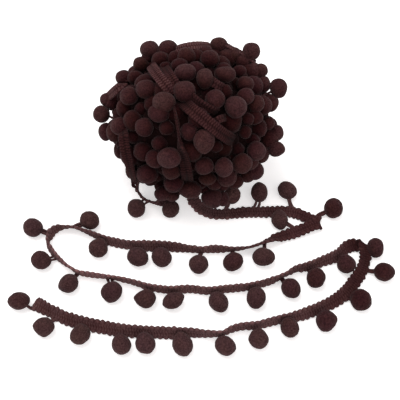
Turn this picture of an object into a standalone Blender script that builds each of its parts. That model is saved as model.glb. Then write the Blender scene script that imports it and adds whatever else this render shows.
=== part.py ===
"""Pompom fringe trim: a heaped, wound ball of it with one loose end laid in four rows.

Metres, +Z up. The origin is the middle of the ball's flat spot, on the table.
The trim is a narrow ribbed tape with felted pompoms hung by short threads
from one of its edges. The tables give places in millimetres.
"""
import math

import bmesh
import bpy
from mathutils import Matrix, Vector

MM = 0.001

# tape and threads
TAPE_WIDE = 6.5 * MM
TAPE_THICK = 1.2 * MM
STEM_WIDE = 2.6 * MM          # a pair of threads, taken together
STEM_THICK = 0.9 * MM
STEM_KNEE = 1.3 * MM          # depth of the tape's border that the threads leave from
STEM_GAP = 0.5 * MM           # from the end of the threads to the felt
TABLE_GAP = 0.4 * MM          # under the tape's lowest edge
RING_STEP = 5.2 * MM          # the longest straight stretch of tape
RING_TURN = math.radians(14)  # the sharpest turn between two sections
ROUTE_STEP = 0.5 * MM

# pompoms
POMPOM_TALL = 9.6 * MM
POMPOM_SINK = 0.35 * MM       # how far a pompom is pressed flat on the table

# ball
BALL_HALF = Vector((49.5, 46.0, 41.5)) * MM
BALL_HIGH = 38.5 * MM         # height of its middle
BALL_PRESS = 2 * MM           # what hangs lower than this is pressed flat on the table
CORE_DEPTH = 4.2 * MM         # how far the wound tape lies under the pompoms' tops
BALL_POMPOM = 5.2 * MM        # radius of a pompom on it
BALL_SEGMENTS = 60
BALL_RINGS = 30
TURNS = 10                    # main turns of the winding
TURN_POMPOMS = 17             # pompoms on each turn
TURN_LEAN = math.radians(68)  # how far the turns lean from level
GOLDEN = math.pi * (3 - math.sqrt(5))

# The loose end's route, from its cut end to the ball. x and y place the middle
# of the tape. The pompom edge points along heading (degrees from +X) and down
# by dip, so at 90 the tape stands on that edge and at 0 it lies flat. lift is
# the extra height where it lies over itself.
LOOSE_ROUTE = (
    # x, y, heading, dip, lift
    (-78.5, -94.5, -60, 40, 0),
    (-70, -97.5, -70, 40, 0),
    (-59.5, -102.5, -75, 42, 0),
    (-44, -106.5, -86, 48, 0),
    (-29, -109, -90, 60, 0),
    (-10, -110, -90, 64, 0),
    (0, -110, -90, 85, 0),
    (8.5, -110.5, -90, 97, 0),
    (15.5, -110, -90, 104, 0),
    (21, -108, -90, 98, 0),
    (26, -106.5, -90, 97, 0),
    (33, -106, -90, 91, 0),
    (42, -103.5, -90, 94, 0),
    (49.5, -101.5, -88, 88, 0),
    (57, -99, -80, 70, 0),
    (66, -95, -70, 55, 0),
    (73.5, -91, -60, 40, 0),
    (79, -86.5, -50, 22, 0),
    (84.5, -80.5, -35, 10, 0),
    (88.5, -74.5, -15, 6, 0),
    (91, -69, 0, 8, 0),
    (92.5, -64, 5, 28, 0),
    (92.5, -60, 10, 62, 0),
    (90.5, -57.5, -90, 90, 0),
    (87, -57.5, -90, 62, 0),
    (83, -60, -75, 46, 0),
    (77.5, -65, -70, 60, 0),
    (69, -69, -80, 76, 0),
    (61, -72, -90, 88, 0),
    (53.5, -74.5, -90, 98, 0),
    (48, -78, -90, 100, 0),
    (41, -81, -90, 97, 0),
    (30.5, -84, -90, 97, 0),
    (20, -85, -90, 93, 0),
    (9, -86.5, -90, 95, 0),
    (0, -85.5, -90, 92, 0),
    (-10.5, -86, -90, 95, 0),
    (-20.5, -84.5, -90, 99, 0),
    (-31, -81, -90, 101, 0),
    (-41.5, -78.5, -90, 112, 0),
    (-52, -77, -90, 105, 0),
    (-58.5, -75.5, -90, 106, 0),
    (-63.5, -72, -90, 116, 0),
    (-69, -67.5, -150, 95, 0),
    (-73.5, -62, 180, 64, 0),
    (-76.5, -56.5, 180, 70, 0),
    (-76.5, -51, 160, 62, 0),
    (-73, -47.5, 120, 66, 0),
    (-68, -46.5, -90, 120, 0),
    (-60.5, -48, -90, 118, 0),
    (-52, -52, -90, 105, 0),
    (-43.5, -56, -90, 88, 0),
    (-32.5, -58.5, -90, 84, 0),
    (-22, -59, -90, 70, 0),
    (-11, -59.5, -90, 80, 0),
    (0, -61, -90, 100, 0),
    (6, -61.5, -90, 108, 0),
    (13, -61, -90, 95, 0),
    (24, -61, -90, 111, 0),
    (32, -59.5, -90, 124, 0),
    (38.5, -56.5, -90, 138, 0),
    (43.5, -54, -90, 160, 0),
    (49, -51, -90, 184, 0),
    (57, -47.5, -90, 184, 0),
    (65.5, -43.5, -90, 181, 0),
    (69.5, -41.4, -90, 180, 0),
    (71.2, -40.9, -90, 180, 0),
    (72.3, -40.8, -90, 180, 0.35),
    (72.7, -40.8, -90, 180, 1.15),
    (72.3, -40.7, -90, 180, 1.95),
    (71.2, -40.6, -90, 180, 2.3),
    (68.5, -40.2, -90, 180, 2.3),
    (64.5, -38.8, -90, 182, 2.1),
    (59, -36.6, -90, 184, 1.0),
    (52.5, -34.5, -90, 182, 0),
    (41.5, -34.5, -90, 184, 0),
    (30.5, -34.5, -90, 180, 0),
    (19, -36, -90, 176, 0),
    (11, -35.5, -90, 178, 0),
    (5, -32.5, -110, 180, 0),
    (2, -28.5, -130, 180, 0),
    (0.8, -26, -145, 180, 0),
    (0.5, -23.8, -150, 180, 0),
)

# The loose end's pompoms, in order from its cut end. slide moves the foot of a
# pompom's threads along the tape from the nearest place.
LOOSE_POMPOMS = (
    # x, y, wide, deep, slide
    (-86, -93, 10.4, 8.4, 0),
    (-71, -107.5, 10, 9, 0),
    (-53, -111, 9.6, 9.4, 0),
    (-33, -116.5, 9, 8.6, 0),
    (-21.5, -116.5, 9.2, 9, 0),
    (-3, -117.5, 9.4, 9.8, 0),
    (17, -117.5, 9.8, 9.6, 0),
    (33, -113.5, 9.2, 9.2, 0),
    (49, -108.5, 8.8, 9.6, 0),
    (67, -104.5, 10, 10.4, 0),
    (86, -93, 9.8, 10.4, 0),
    (100.5, -76, 10.2, 9.4, 0),
    (99.5, -61.5, 9, 10, 0),
    (81.5, -71, 9.4, 9.8, 0),
    (64.5, -80, 9.2, 9.4, 0),
    (51.5, -86, 9.4, 9.8, 0),
    (33, -92, 9.2, 10, 0),
    (14.5, -93.5, 10, 10, 0),
    (-8.5, -93, 10.8, 8.6, 0),
    (-22.5, -92, 10.4, 9, 0),
    (-40, -88.5, 10.6, 9.6, 0),
    (-62.5, -82.5, 9.8, 9.6, 3),
    (-78.5, -69, 10, 9.8, 0),
    (-86, -48, 10, 10, 0),
    (-55.5, -43, 10.2, 9.8, -4),
    (-49, -61.5, 9.8, 9.6, 0),
    (-27.5, -66.5, 10.8, 9.4, 0),
    (-15.5, -67, 10.2, 10, 0),
    (4.5, -71.5, 9.8, 9.8, 0),
    (22.5, -69, 10.4, 9.8, 0),
    (38.5, -67, 11.2, 9.2, 0),
    (48.5, -42, 9.4, 10.2, 5),
    (79.5, -34.5, 9.4, 10.2, 5),
    (54.5, -21.5, 10, 9.8, 0),
    (38.5, -23, 9.2, 10.2, 0),
    (24, -24.5, 9, 9.4, 2),
)

# A slack turn that has slipped down from the ball's front, and its pompoms.
SLACK_ROUTE = (
    # x, y, heading, dip, lift
    (-30.4, -21.9, 200, 80, 9.5),
    (-31.5, -26, 200, 85, 3.5),
    (-29.5, -29.5, 240, 90, 0),
    (-24.5, -33.5, 235, 90, 0),
    (-20, -35, 270, 75, 0),
    (-16.5, -32.5, 300, 60, 0),
    (-15, -28.5, 330, 60, 1),
    (-14.8, -25.8, 330, 60, 1.5),
)
SLACK_POMPOMS = (
    # x, y, wide, deep, slide
    (-31, -36.5, 9.8, 10, 0),
    (-11, -36, 9.4, 9.6, 0),
)

# colours: red, green, blue, roughness
FELT = (0.062, 0.027, 0.027, 0.95)
BRAID = (0.052, 0.024, 0.022, 0.90)


def clear_scene():
    for old in list(bpy.data.objects):
        bpy.data.objects.remove(old, do_unlink=True)


def material(name, finish):
    """A cloth material; finish is red, green, blue, roughness."""
    red, green, blue, rough = finish
    made = bpy.data.materials.new(name)
    made.use_nodes = True
    shader = made.node_tree.nodes["Principled BSDF"]
    shader.inputs["Base Color"].default_value = (red, green, blue, 1)
    shader.inputs["Roughness"].default_value = rough
    shader.inputs["Metallic"].default_value = 0
    return made


def finished(name, bm, cloth, smooth):
    """Turns a bmesh into a named object with its material, its faces pointing out."""
    bmesh.ops.recalc_face_normals(bm, faces=bm.faces)
    if bm.calc_volume(signed=True) < 0:
        bmesh.ops.reverse_faces(bm, faces=bm.faces)
    mesh = bpy.data.meshes.new(name)
    bm.to_mesh(mesh)
    bm.free()
    if smooth:
        mesh.shade_smooth()
    mesh.materials.append(cloth)
    made = bpy.data.objects.new(name, mesh)
    bpy.context.collection.objects.link(made)
    return made


def flatten_foot(bm):
    """Cuts a body off level with the table and closes the cut."""
    everything = bm.verts[:] + bm.edges[:] + bm.faces[:]
    cut = bmesh.ops.bisect_plane(
        bm, geom=everything, plane_co=(0, 0, 0), plane_no=(0, 0, 1),
        clear_inner=True, dist=0.00001)
    rim = [item for item in cut["geom_cut"] if isinstance(item, bmesh.types.BMEdge)]
    bmesh.ops.triangle_fill(bm, edges=rim, use_beauty=True, use_dissolve=False)


# ---------------------------------------------------------------- tape

def edge_direction(heading, dip):
    """The way the tape's pompom edge points."""
    turn, drop = math.radians(heading), math.radians(dip)
    return Vector((math.cos(turn) * math.cos(drop),
                   math.sin(turn) * math.cos(drop), -math.sin(drop)))


def resting_height(edge):
    """Height of the tape's middle when its lowest edge is just off the table."""
    steep = abs(edge.z)
    flat = math.sqrt(max(0.0, 1 - steep * steep))
    return TAPE_WIDE / 2 * steep + TAPE_THICK / 2 * flat + TABLE_GAP


def between(a, b, c, d, t):
    """Catmull-Rom curve from b to c."""
    return 0.5 * (2 * b + (c - a) * t + (2 * a - 5 * b + 4 * c - d) * t * t
                  + (3 * b - a - 3 * c + d) * t ** 3)


def smooth_route(route):
    """Sections every ROUTE_STEP along a route: middle, run and edge directions."""
    knots = []
    for x, y, heading, dip, lift in route:
        edge = edge_direction(heading, dip)
        middle = Vector((x * MM, y * MM, resting_height(edge) + lift * MM))
        knots.append((middle, edge))
    knots = [knots[0]] + knots + [knots[-1]]
    middles, edges = [], []
    for one, two, three, four in zip(knots, knots[1:], knots[2:], knots[3:]):
        steps = max(2, round((three[0] - two[0]).length / ROUTE_STEP))
        for i in range(steps):
            t = i / steps
            middles.append(between(one[0], two[0], three[0], four[0], t))
            edges.append(two[1].lerp(three[1], t * t * (3 - 2 * t)))
    middles.append(knots[-1][0])
    edges.append(knots[-1][1])
    sections = []
    for i, (middle, edge) in enumerate(zip(middles, edges)):
        run = (middles[min(i + 1, len(middles) - 1)] - middles[max(i - 1, 0)]).normalized()
        edge = (edge - run * edge.dot(run)).normalized()
        sections.append((middle, run, edge))
    return sections


def stem_feet(sections, pompoms):
    """The section nearest to each pompom, moved along the tape by its slide."""
    feet = []
    for x, y, wide, deep, slide in pompoms:
        centre = Vector((x * MM, y * MM, POMPOM_TALL / 2))
        gaps = [(middle + edge * TAPE_WIDE / 2 - centre).length
                for middle, run, edge in sections]
        nearest = gaps.index(min(gaps)) + round(slide * MM / ROUTE_STEP)
        feet.append(min(max(nearest, 0), len(sections) - 1))
    return feet


def chosen_sections(sections, feet):
    """Sections kept for the solid: one each side of every stem, and enough between."""
    half = round(STEM_WIDE / 2 / ROUTE_STEP)
    kept = {0, len(sections) - 1}
    for foot in feet:
        if foot > half:
            kept.update((foot - half, foot + half))
    last = 0
    stems = sorted(feet)
    for i, (middle, run, edge) in enumerate(sections):
        if i in kept:
            last = i
            continue
        from_middle, from_run, from_edge = sections[last]
        far = (i - last) * ROUTE_STEP >= RING_STEP
        turned = max(run.angle(from_run), edge.angle(from_edge)) >= RING_TURN
        on_stem = any(abs(i - foot) <= half + 1 for foot in stems)
        if (far or turned) and not on_stem:
            kept.add(i)
            last = i
    return sorted(kept)


def corners(middle, run, edge):
    """Corners of the tape's section, from its pompom edge round to the knee below it."""
    face = run.cross(edge) * TAPE_THICK / 2
    rim = middle + edge * TAPE_WIDE / 2
    knee = rim - edge * STEM_KNEE
    back = middle - edge * TAPE_WIDE / 2
    return [rim - face, rim + face, knee + face, back + face, back - face, knee - face]


def move_to(face, places):
    for vert, place in zip(face.verts, places):
        vert.co = place


def stem_wall(before, after, run, edge, centre):
    """The wall between two sections that faces a pompom, as corner numbers: the
    tape's edge, or the broad side next to it where the tape stands on that edge."""
    middle = sum((vert.co for vert in before + after), Vector()) / (len(before) + len(after))
    towards = (centre - middle).normalized()
    face = run.cross(edge)
    walls = {(0, 1): towards.dot(edge), (1, 2): towards.dot(face), (5, 0): -towards.dot(face)}
    return max(walls, key=walls.get)


def end_stem(bm, ring, middle, centre, wide, deep):
    """Draws the tape's cut end out into the stem of the pompom beyond it."""
    towards = (centre - middle).normalized()
    tip = centre - towards * (pompom_reach(towards, wide * MM, deep * MM) + STEM_GAP)
    places = {vert: tip + (vert.co - middle) * STEM_WIDE / TAPE_WIDE for vert in ring}
    cut_end = bm.faces.get(ring)
    order = [places[vert] for vert in cut_end.verts]
    grown = bmesh.ops.extrude_discrete_faces(bm, faces=[cut_end])["faces"][0]
    move_to(grown, order)


def comb(name, route, pompoms, cloth):
    """A stretch of tape with a stem of thread to each pompom, as one solid."""
    sections = smooth_route(route)
    feet = stem_feet(sections, pompoms)
    kept = chosen_sections(sections, feet)
    half = round(STEM_WIDE / 2 / ROUTE_STEP)
    bm = bmesh.new()

    first = [bm.verts.new(place) for place in corners(*sections[0])]
    cap = bm.faces.new(first)
    rings = {0: first}
    for station in kept[1:]:
        cap = bmesh.ops.extrude_discrete_faces(bm, faces=[cap])["faces"][0]
        move_to(cap, corners(*sections[station]))
        rings[station] = list(cap.verts)
    open_rim = [side for side in bm.edges if side.is_boundary]
    bmesh.ops.holes_fill(bm, edges=open_rim, sides=len(first))

    for (x, y, wide, deep, slide), foot in zip(pompoms, feet):
        middle, run, edge = sections[foot]
        centre = Vector((x * MM, y * MM, POMPOM_TALL / 2))
        if foot <= half:
            end_stem(bm, first, middle, centre, wide, deep)
            continue
        before, after = rings[foot - half], rings[foot + half]
        low, high = stem_wall(before, after, run, edge, centre)
        wall = bm.faces.get((before[low], before[high], after[high], after[low]))
        start = wall.calc_center_median()
        towards = (centre - start).normalized()
        tip = centre - towards * (pompom_reach(towards, wide * MM, deep * MM) + STEM_GAP)
        along = (run - towards * run.dot(towards)).normalized() * STEM_WIDE / 2
        across = towards.cross(along).normalized() * STEM_THICK / 2
        if across.dot(before[high].co - before[low].co) < 0:
            across = -across
        places = {before[low]: tip - along - across, before[high]: tip - along + across,
                  after[high]: tip + along + across, after[low]: tip + along - across}
        order = [places[vert] for vert in wall.verts]
        grown = bmesh.ops.extrude_discrete_faces(bm, faces=[wall])["faces"][0]
        move_to(grown, order)
    return finished(name, bm, cloth, False)


# ---------------------------------------------------------------- pompoms

def pompom_reach(towards, wide, deep):
    """From the middle of a pompom to its felt, along a direction."""
    return 1 / math.sqrt((towards.x / (wide / 2)) ** 2 + (towards.y / (deep / 2)) ** 2
                         + (towards.z / (POMPOM_TALL / 2)) ** 2)


def pompom(name, x, y, wide, deep, cloth):
    """A felt ball resting on the table, pressed a little flat where it touches."""
    bm = bmesh.new()
    bmesh.ops.create_icosphere(bm, subdivisions=2, radius=0.5)
    bmesh.ops.scale(bm, vec=(wide * MM, deep * MM, POMPOM_TALL), verts=bm.verts)
    bmesh.ops.translate(bm, vec=(x * MM, y * MM, POMPOM_TALL / 2 - POMPOM_SINK), verts=bm.verts)
    flatten_foot(bm)
    return finished(name, bm, cloth, True)


# ---------------------------------------------------------------- ball

def winding_pompoms():
    """Middles of the pompoms along the ball's main turns."""
    places = []
    for turn in range(TURNS):
        heading = Matrix.Rotation(turn * GOLDEN, 3, "Z")
        lean = Matrix.Rotation(TURN_LEAN, 3, "X")
        for i in range(TURN_POMPOMS):
            angle = 2 * math.pi * (i + turn / TURNS) / TURN_POMPOMS
            way = heading @ lean @ Vector((math.cos(angle), math.sin(angle), 0))
            shrink = 1 - BALL_POMPOM / BALL_HALF.y
            places.append(Vector(way[k] * BALL_HALF[k] * shrink for k in range(3)))
    return places


def ball_surface(way, pompoms):
    """From the ball's middle to its outer surface, along a direction."""
    hull = 1 / math.sqrt(sum((way[k] / BALL_HALF[k]) ** 2 for k in range(3)))
    far = hull - CORE_DEPTH
    for centre in pompoms:
        beside = centre.dot(way)
        inside = BALL_POMPOM ** 2 - centre.length_squared + beside ** 2
        if beside > 0 and inside > 0:
            far = max(far, beside + math.sqrt(inside))
    return min(far, hull)


def ball(cloth):
    """The wound ball: pompoms proud of the turns of tape, and a flat foot."""
    pompoms = winding_pompoms()
    bm = bmesh.new()
    bmesh.ops.create_uvsphere(bm, u_segments=BALL_SEGMENTS, v_segments=BALL_RINGS, radius=1)
    for vert in bm.verts:
        way = vert.co.normalized()
        vert.co = way * ball_surface(way, pompoms)
    bmesh.ops.translate(bm, vec=(0, 0, BALL_HIGH), verts=bm.verts)
    for vert in bm.verts:
        if vert.co.z < BALL_PRESS:
            vert.co.z = -BALL_PRESS
    bmesh.ops.triangulate(bm, faces=bm.faces)
    flatten_foot(bm)
    return finished("ball", bm, cloth, True)


def build():
    clear_scene()
    felt = material("felt", FELT)
    braid = material("braid", BRAID)
    ball(felt)
    comb("loose_tape", LOOSE_ROUTE, LOOSE_POMPOMS, braid)
    comb("slack_tape", SLACK_ROUTE, SLACK_POMPOMS, braid)
    for number, (x, y, wide, deep, slide) in enumerate(LOOSE_POMPOMS, 1):
        pompom(f"pompom_{number:02d}", x, y, wide, deep, felt)
    for number, (x, y, wide, deep, slide) in enumerate(SLACK_POMPOMS, 1):
        pompom(f"slack_pompom_{number}", x, y, wide, deep, felt)


build()
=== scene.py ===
"""Looks of a pompom fringe trim: a heaped, wound ball of it and one loose end in four rows.

Metres, +Z up. The routes give places on the table in millimetres. Places on the ball are
given as they are seen from the camera, as pixels of its 400 x 400 frame, with a depth in
millimetres under the ball's outer surface.
"""
import math
import random

import bmesh
import bpy
from mathutils import Matrix, Vector, noise


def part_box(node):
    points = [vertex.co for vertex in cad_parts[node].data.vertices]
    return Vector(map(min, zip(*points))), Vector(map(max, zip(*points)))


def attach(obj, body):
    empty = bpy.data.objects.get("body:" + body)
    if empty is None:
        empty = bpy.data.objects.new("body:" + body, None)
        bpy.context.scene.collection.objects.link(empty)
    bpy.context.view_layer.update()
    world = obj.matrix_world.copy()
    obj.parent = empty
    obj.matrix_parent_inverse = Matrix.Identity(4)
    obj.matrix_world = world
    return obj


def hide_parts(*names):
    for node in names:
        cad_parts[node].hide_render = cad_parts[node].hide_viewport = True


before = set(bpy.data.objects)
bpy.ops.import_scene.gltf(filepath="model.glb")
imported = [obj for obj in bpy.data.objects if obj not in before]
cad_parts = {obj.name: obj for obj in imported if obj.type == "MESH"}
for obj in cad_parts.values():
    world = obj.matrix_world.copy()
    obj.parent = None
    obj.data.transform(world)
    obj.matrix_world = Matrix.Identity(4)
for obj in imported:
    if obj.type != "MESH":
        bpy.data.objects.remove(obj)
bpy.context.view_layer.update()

MM = 0.001

# ---------------------------------------------------------------- sizes

TAPE_WIDE = 6.5 * MM
TAPE_THICK = 1.2 * MM
TABLE_GAP = 0.4 * MM
RIB_PITCH = 1.38 * MM         # from one pick of the weft to the next
BRAID_WIDE = 7.0 * MM         # over the loops of the edges
BODY_THICK = 1.5 * MM         # of the braid between its edges
EDGE_THICK = 1.85 * MM        # of the cords of looped weft along its edges
RIB_DEPTH = 0.55              # how deep the grooves are, as part of the thickness
SCALLOP = 0.82 * MM           # how far the loops at the edges stand out, one for two picks
WALES = 4                     # columns along the tape
ROUTE_STEP = 0.3 * MM         # between the sections of a tape on the table
TAPE_AROUND = 28              # corners of a section

THREAD_THICK = 1.45 * MM
THREAD_SPREAD = 2.5 * MM      # between the feet of a pair
CLOSE_SPREAD = 1.3 * MM       # and where the pair has felted into one stem
THREAD_INSET = 1.1 * MM       # how far into the tape a thread starts

BALL_HALF = Vector((49.5, 46.0, 41.5)) * MM
BALL_MIDDLE = Vector((0, 0, 38.5)) * MM
BALL_POMPOM = 10.6 * MM
BALL_SWELL = 1.11             # how much larger a pompom of the ball shows than it is packed
SLACK_SWELL = 1.1             # and one of the slack turn than its node
BALL_TAPE_WIDE = 5.4 * MM     # drawn narrower where it is wound tight
TIGHT_LOOPS = 0.2             # how far the loops of its edges stand out there
WOUND_TURNS = 12              # turns of tape under the ball's pompoms
TURN_DEPTH = 12.6 * MM        # of the first of them; each next one lies a little higher
TURN_RISE = 0.2 * MM
HEART_DEPTH = 10.8 * MM       # of the ball's inside, which is painted dark as shade
PRESSED = 0.97                # height of a pompom's middle over the table, in radii, at least

LIT_DEPTH = 0.5 * MM          # how deep in the ball all of its light still reaches,
DARK_DEPTH = 9 * MM           # and from where on only the least light does
BALL_LIT = 0.86
BALL_DARK = 0.26

PLAIN_TINT = 0.5              # of tape and threads; each pompom's differs a little from it
GOLDEN_ANGLE = math.pi * (3 - math.sqrt(5))
STREWN = 74                   # seed of everything that is strewn, the closest of 16 tried

# ---------------------------------------------------------------- camera

IMAGE = 400
LOOK_AT = Vector((5, -25, 0)) * MM
CAMERA_FAR = 375 * MM
CAMERA_RISE = math.radians(52)
SHARPNESS = 656.25            # image pixels for a metre across at a metre away
SENSOR_WIDE = 36

CAMERA_BACK = Vector((0, -math.cos(CAMERA_RISE), math.sin(CAMERA_RISE)))
CAMERA_UP = Vector((0, math.sin(CAMERA_RISE), math.cos(CAMERA_RISE)))
CAMERA_RIGHT = Vector((1, 0, 0))
FACING = Matrix((CAMERA_RIGHT, CAMERA_UP, CAMERA_BACK)).transposed()

# ---------------------------------------------------------------- light

LAMPS = (
    # name, place, size, power, colour
    ("key_light", (-0.25, 0.1, 0.9), 0.7, 4.5, (1.0, 0.98, 0.97)),
    ("fill_light", (0.4, -0.7, 0.7), 0.9, 2.5, (1.0, 0.97, 0.96)),
)
STUDIO_COLOUR = (1.0, 0.985, 0.98, 1)
STUDIO_STRENGTH = 0.55
FLOOR_HALF = 3                # metres from the middle to each side
FLOOR_GLOW = (0.3, 0.5)       # for the light it throws on the cloth, and as it shows

# ---------------------------------------------------------------- colours

FELT_DEEP = (0.0252, 0.0098, 0.0102)
FELT_TIPS = (0.0855, 0.0362, 0.0376)
BRAID_DEEP = (0.062, 0.0276, 0.0280)
BRAID_TIPS = (0.128, 0.0595, 0.0605)

# ---------------------------------------------------------------- the loose end

# x and y place the middle of the tape, heading and dip say where its pompom edge
# points, and lift is extra height where the tape lies over itself. This route lies up to
# 3.25 mm from that of the CAD, most at the fold.
LOOSE_ROUTE = (
    # x, y, heading, dip, lift
    (-78.6, -92.4, -128, 16, 0),
    (-75.6, -94.4, -100, 26, 0),
    (-70, -97.5, -72, 40, 0),
    (-59.5, -102.5, -75, 42, 0),
    (-44, -106.5, -86, 48, 0),
    (-29, -109, -90, 60, 0),
    (-10, -110, -90, 64, 0),
    (0, -110, -90, 78, 0),
    (8.5, -110.5, -90, 92, 0),
    (15.5, -110.3, -90, 101, 0),
    (20.5, -108, -90, 92, 0),
    (26, -106.5, -90, 90, 0),
    (33, -106, -90, 86, 0),
    (42, -103.5, -90, 84, 0),
    (49.5, -101.8, -88, 78, 0),
    (57, -99.6, -80, 64, 0),
    (66.3, -95.7, -72, 60, 0),
    (73.9, -91.5, -60, 44, 0),
    (79.4, -86.8, -50, 30, 0),
    (84.7, -80.5, -35, 24, 0),
    (89, -74.5, -15, 30, 0),
    (91.6, -69, 0, 34, 0.2),
    (92.8, -64, 0, 22, 1.4),
    (93, -60, 0, 6, 2.3),
    (93.1, -57.6, -45, 2, 2.0),
    (93.1, -56.9, -45, 2, 1.15),
    (92.8, -57, -45, 2, 0.3),
    (90.8, -57.2, -88, 4, 0),
    (87, -57.6, -86, 24, 0),
    (83, -59.9, -75, 44, 0),
    (77.5, -65, -70, 58, 0),
    (69, -69, -80, 71, 0),
    (61, -72, -90, 84, 0),
    (54.5, -73.7, -90, 94, 0),
    (49, -77, -90, 106, 0),
    (41, -81, -90, 92, 0),
    (30.5, -84, -90, 92, 0),
    (20, -85.3, -90, 90, 0),
    (9, -86.5, -90, 91, 0),
    (0, -85.5, -90, 89, 0),
    (-10.5, -86, -90, 90, 0),
    (-20.5, -84.5, -90, 95, 0),
    (-31, -81, -90, 102, 0),
    (-41.5, -78.5, -90, 109, 0),
    (-52, -77, -90, 102, 0),
    (-58.5, -75.5, -90, 106, 0),
    (-63.5, -72, -90, 116, 0),
    (-69, -67.5, -150, 95, 0),
    (-74, -62, 180, 82, 0),
    (-77, -56.5, 175, 84, 0),
    (-76, -51, 150, 101, 0),
    (-73, -47.6, 120, 84, 0),
    (-68.5, -46.5, 110, 62, 0),
    (-65, -46.4, -90, 122, 0),
    (-60.5, -48, -90, 116, 0),
    (-52, -52, -90, 100, 0),
    (-43.5, -56, -90, 84, 0),
    (-32.5, -58.5, -90, 82, 0),
    (-22, -59, -90, 70, 0),
    (-11, -59.5, -90, 77, 0),
    (0, -61, -90, 95, 0),
    (6, -61.5, -90, 101, 0),
    (13, -61, -90, 92, 0),
    (24, -61, -90, 111, 0),
    (32, -59.5, -90, 124, 0),
    (38.5, -56.9, -90, 125, 0),
    (43.5, -54.6, -90, 138, 0),
    (49, -51.6, -90, 168, 0),
    (57, -48.9, -90, 184, 0.7),
    (64.3, -46, -90, 181, 1.9),
    (67.9, -44.7, -90, 180, 2.3),
    (69.3, -44.1, -90, 180, 2.3),
    (70.3, -43.6, -90, 180, 1.95),
    (70.8, -42.8, -90, 180, 1.15),
    (70.7, -42, -90, 180, 0.35),
    (70, -41.2, -90, 180, 0),
    (67.6, -40, -90, 180, 0),
    (64.5, -38.3, -90, 182, 0),
    (59, -35.4, -90, 184, 0),
    (52.5, -34, -90, 182, 0),
    (41.5, -34.5, -90, 184, 0),
    (30.5, -34.5, -90, 180, 0),
    (19, -36, -90, 176, 0),
    (11.5, -35.3, -90, 178, 0),
    (6, -32.3, -110, 180, 0),
    (3, -28.5, -130, 180, 0),
    (1.4, -26, -145, 180, 0),
    (0.5, -23.8, -150, 180, 0),
)

# How brightly the loose end shows, by share of its length. A separate program measured
# this light, and the differences were then made stronger.
LOOSE_LIGHT = (
    (0, 0.88), (0.04, 0.8), (0.08, 0.88), (0.11, 1), (0.16, 1.3), (0.20, 1.2), (0.22, 0.95),
    (0.25, 0.66), (0.28, 0.46), (0.305, 0.38), (0.33, 0.42), (0.345, 0.85), (0.39, 1.1),
    (0.44, 1.2), (0.52, 1.35), (0.56, 1.9), (0.60, 1.4), (0.635, 0.92), (0.70, 1.2),
    (0.74, 0.92), (0.78, 1.1), (0.805, 0.85), (0.825, 0.6), (0.87, 0.54), (0.89, 0.56),
    (0.91, 0.74), (0.95, 0.88), (0.97, 1.05), (1, 2.6),
)

# How far along the tape a pompom's threads start from the place nearest to it, in
# millimetres, for the pompoms that lean away from their own threads.
LOOSE_SLIDES = {16: -1.5, 21: 5, 22: 0.5, 23: -1.5, 24: 3.5, 25: -6.5, 29: 1.5, 30: 1, 31: 7.3,
                32: 5, 33: 2, 34: -2, 35: 1.8, 36: 6}

# Those whose two threads have felted together.
FELTED_STEMS = (1, 2, 8, 12, 16, 22, 29, 30, 31, 32, 33, 34, 36)

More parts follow.
